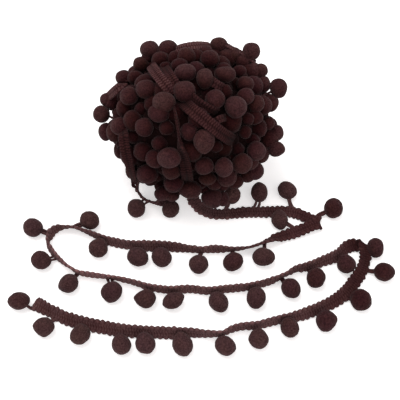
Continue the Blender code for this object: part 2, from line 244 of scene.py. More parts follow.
# How each pompom of the loose end differs from a plain round one: its light, how
# many millimetres it lies to the right and up, its size, the way it is long and how much,
# its narrow side and how narrow. The angles are in degrees, with 90 up. Separate programs
# measured the light and fitted the outlines. The values were then rounded, and some were
# changed by hand.
LOOSE_POMPOMS = {
    # number: (light, right, up, size, long way, how long, narrow side, how narrow)
    1: (0.92, 0.1, 0.1, 1.08, 0, 0.12, 0, 0),
    2: (1.04, -0.2, 0, 1.10, -10, 0.05, 270, 0.65),
    3: (1.03, -0.1, -0.05, 1.10, 45, 0.05, 90, 0.5),
    4: (1.03, 0.15, 0.15, 1.12, -60, 0.06, 105, 0.4),
    5: (1.06, 0.1, 0.6, 1.15, -60, 0.06, 100, 0.35),
    6: (1.06, -0.5, 0.95, 1.18, -70, 0.09, 110, 0.4),
    7: (1.04, 0.05, 0.2, 1.05, -30, 0.08, 110, 0.1),
    8: (1.04, 0.3, 0.1, 1.10, -45, 0.03, 90, 0.45),
    9: (0.90, -0.15, 0.7, 1.06, -68, 0.05, 110, 0.15),
    10: (0.72, 0.4, 0.5, 1.10, 60, 0.03, 8, 0.6),
    11: (0.60, 0.05, 0.5, 1.14, -80, 0.03, 350, 0.25),
    12: (0.64, 0.05, 0.1, 1.10, -10, 0.05, 10, 0.28),
    13: (0.80, -1.0, 0.6, 1.04, 90, 0.12, 0, 0),
    14: (0.78, -0.05, 0.1, 1.08, 0, 0, 105, 0.45),
    15: (0.72, 0.2, 0.4, 1.10, 70, 0.05, 0, 0),
    16: (0.82, -0.15, 0.3, 1.09, -50, 0.05, 40, 0.15),
    17: (0.96, 0.3, 0.6, 1.13, 75, 0.06, 275, 0.25),
    18: (1.02, -0.2, 0.05, 1.06, -50, 0.08, 0, 0),
    19: (1.03, 0.2, 0.35, 1.06, 22, 0.17, 40, 0.3),
    20: (0.92, -0.25, 0.25, 1.11, 5, 0.07, 172, 0.55),
    21: (0.95, 0.25, 0.5, 1.15, 40, 0.04, 273, 0.4),
    22: (1.02, 0.1, -0.3, 1.09, 40, 0.06, 199, 0.4),
    23: (0.96, 0.15, 0.25, 1.09, -30, 0.06, 0, 0.3),
    24: (1.06, 0.15, 0.3, 1.12, -27, 0.05, 4, 0.2),
    25: (1.04, -0.15, 0.15, 1.09, -30, 0.04, 0, 0),
    26: (1.04, 0, 0.65, 1.14, 0, 0, 60, 0.5),
    27: (0.99, -0.35, -0.1, 1.12, -20, 0.08, 200, 0.1),
    28: (0.94, 0.3, 0.2, 1.11, -40, 0.05, 0, 0.1),
    29: (1.03, -0.3, 0.15, 1.08, 0, 0.02, 265, 0.2),
    30: (0.84, -0.2, -0.5, 1.07, 27, 0.07, 0, 0),
    31: (1.02, -0.1, 0.35, 1.12, 0, 0.11, 0, 0.1),
    32: (1.06, 0.35, -0.2, 1.08, -75, 0.09, 90, 0.3),
    33: (0.70, -0.2, 0.05, 1.16, 80, 0.04, 0, 0),
    34: (1.15, 0.1, -0.1, 1.12, -38, 0.07, 0, 0),
    35: (1.20, 0.2, -0.1, 1.11, 90, 0.11, 0, 0),
    36: (1.5, -0.8, -0.5, 1.10, 80, 0.04, 0, 0),
}

# The pompoms that are drawn out to the tape, with no bare thread between.
DRAWN_OUT = (3, 4, 5, 6, 7, 8, 9, 10, 11, 13, 14, 15, 16, 17, 18, 19, 20, 26, 27, 28, 30)

# ---------------------------------------------------------------- the slack turn

# This route lies up to 5.1 mm from that of the CAD, and is 7 mm shorter.
SLACK_ROUTE = (
    # x, y, heading, dip, lift
    (-30.4, -21, 200, 80, 9.5),
    (-30.2, -23.4, 215, 100, 3.5),
    (-27.8, -25.8, 250, 120, 0),
    (-24, -28.4, 260, 128, 0),
    (-20.3, -29.8, 270, 120, 0),
    (-17, -29, 300, 80, 0),
    (-15.2, -27, 330, 60, 1),
    (-14.8, -24.8, 330, 60, 1.5),
)

# How far a pompom of the slack turn lies from the middle of its node: x and y in
# millimetres.
SLACK_LEANS = {1: (0.7, 2.2), 2: (-0.4, 1.3)}

# ---------------------------------------------------------------- the ball's face

# The pompoms on the side of the ball that faces the camera. side is where a pompom is
# drawn out narrow, in degrees with 90 up, and far is how much. Where far is 0 both are
# strewn.
BALL_FACE = (
    # across, down, wide, tall, depth, side, far
    (149.6, 49.2, 20, 17.5, 0, 0, 0),
    (167.8, 50.7, 20.5, 22, 0, 0, 0),
    (186, 55.7, 18.5, 18, 1, 0, 0),
    (197, 56, 12, 15, 3, 0, 0),
    (209.3, 58.7, 19.5, 17.5, 1, 330, 0.2),
    (218, 44.2, 18, 15, 0, 0, 0),
    (226.7, 57.2, 18, 19, 1, 0, 0),
    (250.7, 51.4, 18.5, 18, -0.5, 250, 0.35),
    (242.3, 60.5, 16, 14, 3, 0, 0),
    (140.7, 64.2, 16.5, 16.5, 1, 0, 0),
    (147, 57.5, 12, 10, 5, 0, 0),
    (150, 66, 12, 11, 6, 0, 0),
    (123.3, 77.2, 16, 15, 1, 0, 0),
    (136, 77.3, 18, 14, 4, 0, 0),
    (147, 88.8, 23, 19, 1, 0, 0),
    (165.7, 66.8, 13, 11, 6, 0, 0),
    (184.3, 72.2, 23, 17.5, 0, 0, 0),
    (204.3, 78.5, 17, 20, 1, 270, 0.15),
    (224.6, 74.2, 22, 16, 1, 0, 0),
    (239, 70.8, 14, 12.5, 3, 0, 0),
    (253, 70.8, 15, 18, 2, 0, 0),
    (260.3, 70.3, 14, 14.5, 2, 0, 0),
    (244.5, 83.5, 18, 15.5, 2, 0, 0),
    (262.4, 84.3, 15, 17, 1, 0, 0),
    (278.1, 87.6, 17.5, 20.5, -2, 145, 0.3),
    (270.4, 102.4, 15.5, 18, 1, 0, 0),
    (184, 91.2, 22.5, 20.5, 0.5, 270, 0.15),
    (128.5, 95.5, 18.5, 18, 0, 0, 0),
    (112, 101.3, 18, 17, 1, 0, 0),
    (106.7, 99.3, 14, 14, 3, 0, 0),
    (116, 91.5, 13, 12, 5, 0, 0),
    (100.9, 113.8, 17, 17, 0, 0, 0),
    (163.5, 101.8, 23, 20.5, -0.3, 0, 0),
    (158.5, 113, 22, 18.5, 2, 0, 0),
    (214.5, 99.3, 20, 20, 2, 0, 0),
    (225, 92, 14, 16, 6, 0, 0),
    (235, 106.8, 22.5, 22, -0.3, 265, 0.4),
    (245, 96, 18, 17, 2, 0, 0),
    (255.3, 103.3, 17, 18, 2, 0, 0),
    (254.2, 117, 17, 15, 5, 0, 0),
    (267.8, 122.5, 12.5, 14, 3, 0, 0),
    (143.7, 126.8, 18.5, 18.5, 3, 0, 0),
    (119.3, 125.8, 18.5, 18, 0.5, 0, 0),
    (105.2, 130.9, 14, 18.3, 2, 0, 0),
    (124, 138, 14, 14, 6, 0, 0),
    (166.3, 127.5, 16, 15, 6.5, 0, 0),
    (188.7, 131.3, 18, 19, 4, 45, 0.2),
    (203.5, 141, 22, 25, 0, 268, 0.5),
    (215.5, 146, 14, 12.5, 7, 0, 0),
    (244.8, 131.5, 13, 14, 6, 0, 0),
    (268.7, 137.8, 20, 20, 0, 0, 0),
    (276.7, 132.5, 13, 15.5, 3, 0, 0),
    (275.8, 148.7, 17, 15.5, 1, 0, 0),
    (255.8, 150.6, 19.5, 20, 0, 0, 0),
    (121.5, 151.5, 14, 14, 4, 0, 0),
    (142.5, 151, 20.5, 19.5, 5, 0, 0),
    (159.5, 143, 18, 16, 7, 0, 0),
    (133, 136, 15, 15, 7, 0, 0),
    (140.8, 109, 15, 15, 7, 0, 0),
    (203, 52, 13, 11, 4, 0, 0),
    (168.3, 157.5, 24, 21, 0.5, 200, 0.25),
    (203.4, 165.5, 20, 18, 3, 0, 0),
    (223.6, 166.5, 19, 19.5, 0, 90, 0.15),
    (242, 163, 20.5, 20, 0, 0, 0),
    (254.2, 170, 17.5, 19, 3, 0, 0),
    (147, 173, 21.5, 20, 1, 0, 0),
    (131, 169, 12, 18, 5, 0, 0),
    (171.3, 182, 18, 21, 4, 0, 0),
    (189.5, 189, 23, 18.5, 0, 0, 0),
    (207, 178, 18, 14, 4, 0, 0),
    (233, 180.5, 20, 16, 2, 0, 0),
    (162, 193, 17, 15, 5, 0, 0),
    (172, 196, 14, 10, 4, 0, 0),
    (233, 54.5, 16, 15, 4, 0, 0),
    (246.5, 69, 15, 14, 5, 0, 0),
    (245, 57, 14, 14, 5, 0, 0),
    (247, 175.5, 14, 13, 4, 0, 0),
    (212.2, 197.8, 23, 19.5, 1, 290, 0.15),
    (222.5, 198.5, 12, 15, 3, 0, 0),
    (220, 184.5, 18, 14, 5, 0, 0),
    (206, 188.5, 14, 12, 4.5, 0, 0),
    (247, 118.5, 14, 13, 6, 0, 0),
    (252, 140, 16, 14, 6.5, 0, 0),
    (237, 149, 15, 14, 8, 0, 0),
    (216, 52, 14, 12, 3, 0, 0),
)

# Bays in the outline of the ball, where no pompoms are strewn: across and down.
BALL_BAYS = ((261, 58), (111, 117), (269, 114), (245, 186), (148, 189), (224.5, 188))

# Stretches of the tape that show between those pompoms: how much light falls on each,
# how much of its width shows, and its places. turn rolls the tape about its own line, in
# degrees from lying flat on the ball. The light was set from colours that a separate
# program measured.
BALL_TAPES = (
    # (light, width, ((across, down, depth, turn) for each place))
    (0.82, 1.05, ((150.5, 65, 4, 10), (153.5, 69.5, 1.6, 5), (158.5, 76.5, 1, 0),
                  (165, 84.5, 1.8, 0), (172, 94, 5, 0))),
    (0.74, 0.9, ((164, 66, 8, 0), (168.5, 73, 4.5, 0), (174.5, 82, 4.5, 0), (182, 93, 8, 0))),
    (0.58, 1.22, ((182, 100.5, 9, 0), (190, 108, 3.5, 0), (198, 114.5, 2.4, 0),
                  (206, 121, 2.2, 0), (214, 127.5, 2.8, 0), (222, 133.5, 4.6, 0),
                  (229, 138, 8, 0), (234.5, 141.5, 15, 0))),
    (0.62, 0.85, ((186, 90, 10, 40), (192, 96.5, 5.5, 52), (199, 102, 4.5, 56),
                  (206, 106.5, 4.5, 56), (212, 109.5, 5.5, 56), (217, 111, 9, 56))),
    (1.05, 0.9, ((206, 76, 10, 35), (213, 82, 6, 35), (220, 86.5, 6.5, 35), (227, 90, 11, 35))),
    (0.42, 1, ((122, 126, 9, -40), (123, 134, 2.5, -45), (123.5, 141, 1.5, -50),
               (124.5, 148, 1, -50), (126.3, 156, 1.5, -35), (128.6, 164, 2, -20),
               (131.3, 173, 2, -5), (133.2, 181, 3, 10), (134, 187, 3, 20))),
    (0.5, 0.5, ((172.5, 104, 7, 60), (175, 113, 4, 90), (177, 123, 4, 110), (178.3, 133, 4, 90),
                (179, 141, 4.5, 60), (181, 149, 7, 40))),
    (0.5, 1.15, ((178, 140, 8, 60), (180, 147, 5, 50), (183, 155, 6, 35), (185, 165, 6.5, 15),
                 (186.5, 175, 6.5, 5), (188, 186, 9, 0), (189, 193, 12, 0))),
    (1.3, 0.9, ((176, 48.5, 3.5, 40), (186, 46.4, 2.2, 45), (198, 44.9, 2, 45),
                (210, 45.2, 3, 40))),
    (1.0, 1, ((225, 44, 3, 20), (233, 48.5, 2, 20), (241, 52.3, 2, 20), (248, 57, 2, 20),
              (255, 62, 4, 20))),
    (0.95, 1, ((105, 99, 4, 20), (109, 95, 2.4, 25), (114, 90.5, 2, 25), (119, 86.5, 2.4, 25),
                (124, 83.5, 4.5, 20))),
    (0.7, 0.7, ((212, 124, 11, 0), (216, 120.5, 5, 0), (221, 118, 5, 0), (226, 117, 11, 0))),
)

# The pompoms that fill the ball, layer by layer: how deep they lie, how many places are
# tried, how close two may press together as part of their radii, how much their depth
# wanders, and how far round to the front they go, from 0 at the outline to 1 all over.
BALL_LAYERS = (
    # depth, tries, close, wander, front
    (0.6, 420, 0.90, 1.5, 0.02),
    (2.2, 900, 0.80, 0.8, 0.4),
    (4.0, 900, 0.78, 0.9, 1),
    (6.4, 900, 0.78, 0.8, 1),
    (9.0, 600, 0.80, 0.6, 1),
)


# ---------------------------------------------------------------- camera, light and floor

def make_camera():
    lens = bpy.data.cameras.new("camera")
    lens.sensor_width = SENSOR_WIDE
    lens.lens = SENSOR_WIDE * SHARPNESS / IMAGE
    lens.clip_start = 0.01
    lens.clip_end = 20
    camera = bpy.data.objects.new("camera", lens)
    bpy.context.collection.objects.link(camera)
    camera.location = LOOK_AT + CAMERA_BACK * CAMERA_FAR
    camera.rotation_euler = (math.pi / 2 - CAMERA_RISE, 0, 0)
    bpy.context.scene.camera = camera


def hang_lamp(name, place, size, power, colour):
    """A round lamp that shines on the trim."""
    lamp = bpy.data.lights.new(name, "AREA")
    lamp.shape = "DISK"
    lamp.size = size
    lamp.energy = power
    lamp.color = colour
    made = bpy.data.objects.new(name, lamp)
    bpy.context.collection.objects.link(made)
    made.location = place
    made.rotation_euler = (LOOK_AT - Vector(place)).to_track_quat("-Z", "Y").to_euler()


def light_the_room():
    studio = bpy.data.worlds.new("studio")
    studio.use_nodes = True
    background = studio.node_tree.nodes["Background"]
    background.inputs["Color"].default_value = STUDIO_COLOUR
    background.inputs["Strength"].default_value = STUDIO_STRENGTH
    bpy.context.scene.world = studio
    bpy.context.scene.view_settings.view_transform = "Standard"
    for lamp in LAMPS:
        hang_lamp(*lamp)


def lay_floor():
    bm = bmesh.new()
    bmesh.ops.create_grid(bm, x_segments=1, y_segments=1, size=FLOOR_HALF)
    floor = to_object("floor", bm, white_sweep())


# ---------------------------------------------------------------- materials

def new_node(tree, kind, place, **values):
    """A node with its properties and, by socket name, its inputs set."""
    node = tree.nodes.new(kind)
    node.location = place
    for name, value in values.items():
        if hasattr(node, name):
            setattr(node, name, value)
        else:
            node.inputs[name.replace("_", " ").title()].default_value = value
    return node


def pile_group():
    """Short cut pile: soft clumps, fine fibre ends and a slow drift of colour."""
    tree = bpy.data.node_groups.new("cut_pile", "ShaderNodeTree")
    for name, scale in (("Clump Scale", 900.0), ("Fibre Scale", 4200.0), ("Drift Scale", 140.0)):
        socket = tree.interface.new_socket(name, in_out="INPUT", socket_type="NodeSocketFloat")
        socket.default_value = scale
    for name in ("Height", "Tips", "Drift"):
        tree.interface.new_socket(name, in_out="OUTPUT", socket_type="NodeSocketFloat")
    link = tree.links.new
    given = new_node(tree, "NodeGroupInput", (-800, 0))
    result = new_node(tree, "NodeGroupOutput", (500, 0))
    place = new_node(tree, "ShaderNodeTexCoord", (-800, -300))
    clumps = new_node(tree, "ShaderNodeTexNoise", (-500, 200), detail=3.0, roughness=0.6)
    fibres = new_node(tree, "ShaderNodeTexNoise", (-500, -50), detail=2.0, roughness=0.7)
    drift = new_node(tree, "ShaderNodeTexNoise", (-500, -300), detail=2.0, roughness=0.5)
    for node, scale in ((clumps, "Clump Scale"), (fibres, "Fibre Scale"), (drift, "Drift Scale")):
        link(place.outputs["Object"], node.inputs["Vector"])
        link(given.outputs[scale], node.inputs["Scale"])
    height = new_node(tree, "ShaderNodeMath", (0, 100), operation="MULTIPLY_ADD")
    height.inputs[1].default_value = 0.55
    link(fibres.outputs["Fac"], height.inputs[0])
    link(clumps.outputs["Fac"], height.inputs[2])
    tips = new_node(tree, "ShaderNodeMix", (0, -100), data_type="FLOAT")
    tips.inputs["Factor"].default_value = 0.55
    link(fibres.outputs["Fac"], tips.inputs["A"])
    link(clumps.outputs["Fac"], tips.inputs["B"])
    link(height.outputs[0], result.inputs["Height"])
    link(tips.outputs["Result"], result.inputs["Tips"])
    link(drift.outputs["Fac"], result.inputs["Drift"])
    return tree


def cloth_material(name, deep, ends, pile, clump, drift_scale, bump, sheen, richness):
    """A matte cloth: deep and ends are its colours in the pile and on its tips, and
    richness is how much stronger its colour is where little light gets to it. The mesh
    holds painted light and shade (shade), and says how its hue differs (tint)."""
    made = bpy.data.materials.new(name)
    made.use_nodes = True
    tree = made.node_tree
    link = tree.links.new
    shader = tree.nodes["Principled BSDF"]
    shader.inputs["Roughness"].default_value = 0.95
    shader.inputs["Specular IOR Level"].default_value = 0.08
    shader.inputs["Sheen Weight"].default_value = sheen
    shader.inputs["Sheen Roughness"].default_value = 0.4
    shader.inputs["Sheen Tint"].default_value = (0.80, 0.64, 0.64, 1)
    grain = new_node(tree, "ShaderNodeGroup", (-700, 0), node_tree=pile)
    grain.inputs["Clump Scale"].default_value = clump
    grain.inputs["Drift Scale"].default_value = drift_scale
    shade = new_node(tree, "ShaderNodeAttribute", (-700, 300), attribute_name="shade")
    tint = new_node(tree, "ShaderNodeAttribute", (-700, 500), attribute_name="tint")

    tips = new_node(tree, "ShaderNodeMapRange", (-450, 0), from_min=0.38, from_max=0.62)
    link(grain.outputs["Tips"], tips.inputs["Value"])
    mixed = new_node(tree, "ShaderNodeMix", (-250, 100), data_type="RGBA")
    mixed.inputs["A"].default_value = (*deep, 1)
    mixed.inputs["B"].default_value = (*ends, 1)
    link(tips.outputs["Result"], mixed.inputs["Factor"])

    drift = new_node(tree, "ShaderNodeMath", (-550, 400), operation="ADD")
    link(grain.outputs["Drift"], drift.inputs[0])
    link(tint.outputs["Fac"], drift.inputs[1])
    hue = new_node(tree, "ShaderNodeMapRange", (-350, 400), from_max=2.0,
                   to_min=0.475, to_max=0.525)
    link(drift.outputs[0], hue.inputs["Value"])
    # Painted light and shade: the shade attribute, with a random mottle, sets how light the colour
    # is, and makes it richer where it is dark.
    richer = new_node(tree, "ShaderNodeMapRange", (-350, 600), from_min=0.3,
                      to_min=richness, to_max=0.94)
    link(shade.outputs["Fac"], richer.inputs["Value"])
    mottle = new_node(tree, "ShaderNodeMapRange", (-350, 800), from_min=0.3, from_max=0.7,
                      to_min=0.91, to_max=1.09)
    link(grain.outputs["Drift"], mottle.inputs["Value"])
    lit = new_node(tree, "ShaderNodeMath", (-200, 600), operation="MULTIPLY")
    link(mottle.outputs["Result"], lit.inputs[0])
    link(shade.outputs["Fac"], lit.inputs[1])

    # The dye's hue and the painted light and shade go into the base colour.
    dyed_and_shaded = new_node(tree, "ShaderNodeHueSaturation", (-100, 250))
    link(mixed.outputs["Result"], dyed_and_shaded.inputs["Color"])
    link(hue.outputs["Result"], dyed_and_shaded.inputs["Hue"])
    link(richer.outputs["Result"], dyed_and_shaded.inputs["Saturation"])
    link(lit.outputs[0], dyed_and_shaded.inputs["Value"])
    link(dyed_and_shaded.outputs["Color"], shader.inputs["Base Color"])

    relief = new_node(tree, "ShaderNodeBump", (-250, -250), strength=bump, distance=0.35 * MM)
    link(grain.outputs["Height"], relief.inputs["Height"])
    link(relief.outputs["Normal"], shader.inputs["Normal"])
    return made


def white_sweep():
    """Studio paper, lit so brightly that it looks white and lights the cloth from below."""
    made = bpy.data.materials.new("white_sweep")
    made.use_nodes = True
    tree = made.node_tree
    link = tree.links.new
    shader = tree.nodes["Principled BSDF"]
    shader.inputs["Base Color"].default_value = (0.9, 0.89, 0.89, 1)
    shader.inputs["Roughness"].default_value = 0.9
    shader.inputs["Emission Color"].default_value = (1.0, 0.985, 0.985, 1)
    ray = new_node(tree, "ShaderNodeLightPath", (-500, 0))
    glow = new_node(tree, "ShaderNodeMapRange", (-250, 0), to_min=FLOOR_GLOW[0],
                    to_max=FLOOR_GLOW[1])
    link(ray.outputs["Is Camera Ray"], glow.inputs["Value"])
    link(glow.outputs["Result"], shader.inputs["Emission Strength"])
    return made


# ---------------------------------------------------------------- meshes

def to_object(name, bm, material):
    """Turns a bmesh into an object of one material."""
    mesh = bpy.data.meshes.new(name)
    bm.to_mesh(mesh)
    bm.free()
    mesh.shade_smooth()
    mesh.materials.append(material)
    made = bpy.data.objects.new(name, mesh)
    bpy.context.collection.objects.link(made)
    return made


def on_root(piece):
    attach(piece, "root")
    return piece


def painted_shade_and_dye_layers(bm):
    """The vertex layers of painted light and shade, which say how light the cloth is painted
    there, and of dye, how its hue differs.
    """
    layers = bm.verts.layers.float
    return (layers.get("shade") or layers.new("shade"), layers.get("tint") or layers.new("tint"))


def edge_direction(heading, dip):
    """The way the tape's pompom edge points."""
    turn, drop = math.radians(heading), math.radians(dip)
    return Vector((math.cos(turn) * math.cos(drop),
                   math.sin(turn) * math.cos(drop), -math.sin(drop)))


def resting_height(edge):
    """Height of the tape's middle when its lowest edge is just off the table."""
    steep = abs(edge.z)
    flat = math.sqrt(max(0.0, 1 - steep * steep))
    return TAPE_WIDE / 2 * steep + TAPE_THICK / 2 * flat + TABLE_GAP


def between(a, b, c, d, t):
    """Catmull-Rom curve from b to c."""
    return 0.5 * (2 * b + (c - a) * t + (2 * a - 5 * b + 4 * c - d) * t * t
                  + (3 * b - a - 3 * c + d) * t ** 3)


def smooth_sections(knots, step):
    """Sections every step along (middle, edge direction) pairs: middle, run, edge."""
    knots = [knots[0]] + knots + [knots[-1]]
    middles, edges = [], []
    for one, two, three, four in zip(knots, knots[1:], knots[2:], knots[3:]):
        steps = max(2, round((three[0] - two[0]).length / step))
        for i in range(steps):
            t = i / steps
            middles.append(between(one[0], two[0], three[0], four[0], t))
            edges.append(two[1].lerp(three[1], t * t * (3 - 2 * t)))
    middles.append(knots[-1][0])
    edges.append(knots[-1][1])
    sections = []
    for i, (middle, edge) in enumerate(zip(middles, edges)):
        run = (middles[min(i + 1, len(middles) - 1)] - middles[max(i - 1, 0)]).normalized()
        edge = (edge - run * edge.dot(run)).normalized()
        sections.append((middle, run, edge))
    return sections


def table_knots(route):
    """(middle, edge direction) for each row of a route on the table."""
    knots = []
    for x, y, heading, dip, lift in route:
        edge = edge_direction(heading, dip)
        knots.append((Vector((x * MM, y * MM, resting_height(edge) + lift * MM)), edge))
    return knots


def sleeve(bm, rows, around, place):
    """A closed tube: a grid rolled up. place(row, angle) gives a point and its shade."""
    shade, tint = painted_shade_and_dye_layers(bm)
    made = bmesh.ops.create_grid(bm, x_segments=rows - 1, y_segments=around, size=0.5)["verts"]
    for vert in made:
        row = round((vert.co.x + 0.5) * (rows - 1))
        angle = (vert.co.y + 0.5) * 2 * math.pi
        vert.co, vert[shade] = place(row, angle)
        vert.co.z = max(vert.co.z, 0)
        vert[tint] = PLAIN_TINT
    bmesh.ops.remove_doubles(bm, verts=made, dist=1e-7)
    kept = [vert for vert in made if vert.is_valid]
    ends = {edge for vert in kept for edge in vert.link_edges if edge.is_boundary}
    bmesh.ops.holes_fill(bm, edges=list(ends), sides=around)


def in_the_open(place):
    """How much light reaches a place: all of it."""
    return 1.0


def in_the_ball(place):
    """How much light reaches a place in the ball: less and less, the deeper it lies."""
    scaled = Vector((place[k] - BALL_MIDDLE[k]) / BALL_HALF[k] for k in range(3))
    depth = (1 - scaled.length) * BALL_HALF.y
    sunk = min(max((depth - LIT_DEPTH) / (DARK_DEPTH - LIT_DEPTH), 0.0), 1.0)
    return BALL_LIT - (BALL_LIT - BALL_DARK) * sunk


def weave_height(length, across, side, fine, tight):
    """How high the weave stands there, from 0 in a groove to 1 on a pick. The picks lie a
    little aslant and uneven, and step from each wale to the next. Wound tight, they stand
    apart more clearly."""
    column = math.floor((across + 1) * WALES / 2)
    picks = length / RIB_PITCH + 0.16 * side * across + 0.12 * fine + 0.3 * (column % 2)
    pick = abs(math.sin(math.pi * picks))
    wale = abs(math.sin(math.pi * WALES / 2 * (across + 1)))
    wale_depth = 0.45 + 0.3 * tight
    return pick ** (0.7 + 0.5 * tight) * (1 - wale_depth + wale_depth * wale ** 0.6)


def loop_height(length, across, side, slow):
    """How far a loop stands out of the edge there, from 0 between two loops to about 1.
    The loops of one edge lie between those of the other."""
    loops = length / (2 * RIB_PITCH) + (0.5 if across < 0 else 0) + 0.06 * slow
    uneven = noise.noise(Vector((length * 330, 7 * math.copysign(1, across), side)))
    return abs(math.sin(math.pi * loops)) ** 0.8 * (1 + 0.7 * uneven)


def tape_place(sections, wide, reached, lights, looped):
    """The braid's surface: picks across it in four wales, and a loop at alternate edges
    for every two picks. reached says how much light gets to a place, lights how brightly
    each section shows, and looped how far the loops stand out of the edges."""
    tight = 1 - looped
    lengths = [0.0]
    for one, two in zip(sections, sections[1:]):
        lengths.append(lengths[-1] + (two[0] - one[0]).length)
    last = lengths[-1]

    def place(row, angle):
        middle, run, edge = sections[row]
        face = run.cross(edge)
        length = lengths[row]
        # The section is a flattened round with nearly square corners.
        across, through = math.cos(angle), math.sin(angle)
        side = 1 if through > 0 else -1
        across = math.copysign(abs(across) ** 0.8, across)
        through = math.copysign(abs(through) ** 0.42, through)
        slow = noise.noise(middle * 160)
        fine = noise.noise(Vector((length * 900, across * 2.2, side * 5)))
        knot = weave_height(length, across, side, fine, tight)
        loop = loop_height(length, across, side, slow)
        # rim is 0 on the flat of the braid and goes up to 1 on the cords of its edges.
        rim = looped * min(max((abs(across) - 0.4) / 0.35, 0.0), 1.0)
        half = wide / 2 * (1 + 0.03 * slow) + looped * SCALLOP * (loop - 0.62) * abs(across) ** 3
        body = BODY_THICK * (1 - RIB_DEPTH + RIB_DEPTH * knot)
        cord = EDGE_THICK * (0.66 + 0.34 * loop)
        rise = (body + (cord - body) * rim) / 2 * (1 + 0.10 * fine)
        # The cut ends are drawn in a little.
        round_end = min(1.0, (min(length, last - length) / (0.9 * MM) + 0.25)) ** 0.5
        point = middle + edge * half * across * round_end + face * rise * through
        # Painted light and shade: the tops of the picks and loops are painted light, and the
        # grooves painted dark, more so where the tape is wound tight.
        knot += (0.15 + 0.7 * loop - knot) * rim
        shade = 0.36 + 0.84 * knot + tight * (0.55 * knot - 0.25) + 0.08 * slow + 0.06 * rim
        return point, shade * reached(point) * (lights[row] if lights else 1)

    return place


def tape(bm, sections, around, wide=BRAID_WIDE, reached=in_the_open, lights=None, looped=1.0):
    sleeve(bm, len(sections), around, tape_place(sections, wide, reached, lights, looped))


def thread(bm, points, thick, shade, around=7):
    """A two-ply thread through a few points, with painted shade: darker where it dips in between
    its plies.
    """
    aside = Vector((0.3, 0.5, 1))
    sections = smooth_sections([(point, aside) for point in points], thick * 0.5)

    def place(row, angle):
        middle, run, edge = sections[row]
        out = edge * math.cos(angle) + run.cross(edge) * math.sin(angle)
        ply = 1 + 0.15 * math.cos(2 * angle - row * 0.8)
        return middle + out * thick / 2 * ply, shade * (0.75 + 0.25 * ply)

    sleeve(bm, len(sections), around, place)


def drawn_out(place, mean, side, far):
    """Where a place of a pompom lies once it is pulled out narrow toward side."""
    along = place.dot(side)
    beyond = max(along / mean + 0.25, 0.0)
    return side * along + (place - side * along) * (1 - 0.42 * far * beyond ** 1.5)


def pulled_in(place, side, far):
    """Where a place of a pompom lies once its threads pull it in where they enter."""
    return place - place * far * math.exp(-((1 - place.normalized().dot(side)) / 0.12))


def felt_ball(bm, centre, half, grain, light, seed, turned=None, drawn=None,
              dented=None, rough=0.012, uneven=1.0, reached=in_the_open):
    """A felted pompom: an uneven ball of half sizes half along the axes of turned, on or
    above the table. drawn and dented are (direction, how far): the side where it is pulled
    out narrow, and the side where its threads pull it in, or out if how far is negative."""
    shade, tint = painted_shade_and_dye_layers(bm)
    made = bmesh.ops.create_icosphere(bm, subdivisions=grain, radius=1)["verts"]
    shift = Vector((seed * 1.37, seed * 2.11, seed * 0.73))
    mean = (half.x + half.y + half.z) / 3
    hue = PLAIN_TINT + 0.6 * noise.noise(shift * 3.7)
    for vert in made:
        way = vert.co.normalized()
        lump = 0.050 * noise.noise(way * 1.3 + shift) + 0.034 * noise.noise(way * 2.7 + shift)
        lump *= uneven
        tuft = rough * (noise.noise(way * 9 + shift) + 0.8 * noise.noise(way * 21 + shift))
        place = Vector(way[k] * half[k] for k in range(3)) * (1 + lump + tuft)
        if turned:
            place = turned @ place
        if drawn:
            place = drawn_out(place, mean, *drawn)
        if dented:
            place = pulled_in(place, *dented)
        place += centre
        place.z = max(place.z, 0)
        vert.co = place
        # Painted light and shade: lighter where the felt bulges out and darker in its dents, times
        # the light given and the light that reaches the place.
        vert[shade] = light * (1 + 0.8 * lump + 4.5 * tuft) * reached(place)
        vert[tint] = hue + 0.3 * noise.noise(way * 1.1 + shift)


# ---------------------------------------------------------------- pieces on the table

def node_place(node):
    """Middle and half sizes of a CAD node."""
    low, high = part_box(node)
    low, high = Vector(low), Vector(high)
    return (low + high) / 2, (high - low) / 2


def foot_of(sections, centre, slide):
    """The section nearest to a pompom, moved along the tape by its slide."""
    gaps = [(middle + edge * TAPE_WIDE / 2 - centre).length for middle, run, edge in sections]
    nearest = gaps.index(min(gaps)) + round(slide * MM / ROUTE_STEP)
    return min(max(nearest, 0), len(sections) - 1)


def pair_of_threads(bm, sections, foot, centre, reach, spread, light, rng):
    """Two threads from the tape's edge into a pompom, whose wound core has the radius
    reach. They end closer together than they start."""
    half = round(spread / 2 / ROUTE_STEP)
    for side in (-1, 1):
        at = min(max(foot + side * half, 0), len(sections) - 1)
        middle, run, edge = sections[at]
        start = middle + edge * (TAPE_WIDE / 2 - THREAD_INSET)
        rim = middle + edge * (TAPE_WIDE / 2 + 0.1 * MM)
        towards = (centre - rim).normalized()
        end = centre - towards * reach * 0.7 + run * side * spread * 0.2
        bend = (rim + end) / 2 + Vector((rng.uniform(-1, 1), rng.uniform(-1, 1), 0.5)) * 0.3 * MM
        for point in (start, rim, bend, end):
            point.z = max(point.z, THREAD_THICK * 0.62)
        thread(bm, [start, rim, bend, end], THREAD_THICK, light * rng.uniform(0.8, 1.0))


def seen_way(angle):
    """A direction across the view."""
    return CAMERA_RIGHT * math.cos(math.radians(angle)) + CAMERA_UP * math.sin(math.radians(angle))


def loose_shape(number, half):
    """Light, shift and half sizes of a pompom of the loose end, and how felt_ball shapes it."""
    light, right, up, size, way, longer, side, narrow = LOOSE_POMPOMS[number]
    shift = Vector((right, up / math.sin(CAMERA_RISE), 0)) * MM
    mean = (half.x + half.y + half.z) / 3 * size
    half = Vector((mean * (1 + longer), mean * (1 - longer), mean))
    turned = FACING @ Matrix.Rotation(math.radians(way), 3, "Z")
    return light, shift, half, {"turned": turned, "drawn": (seen_way(side), narrow)}


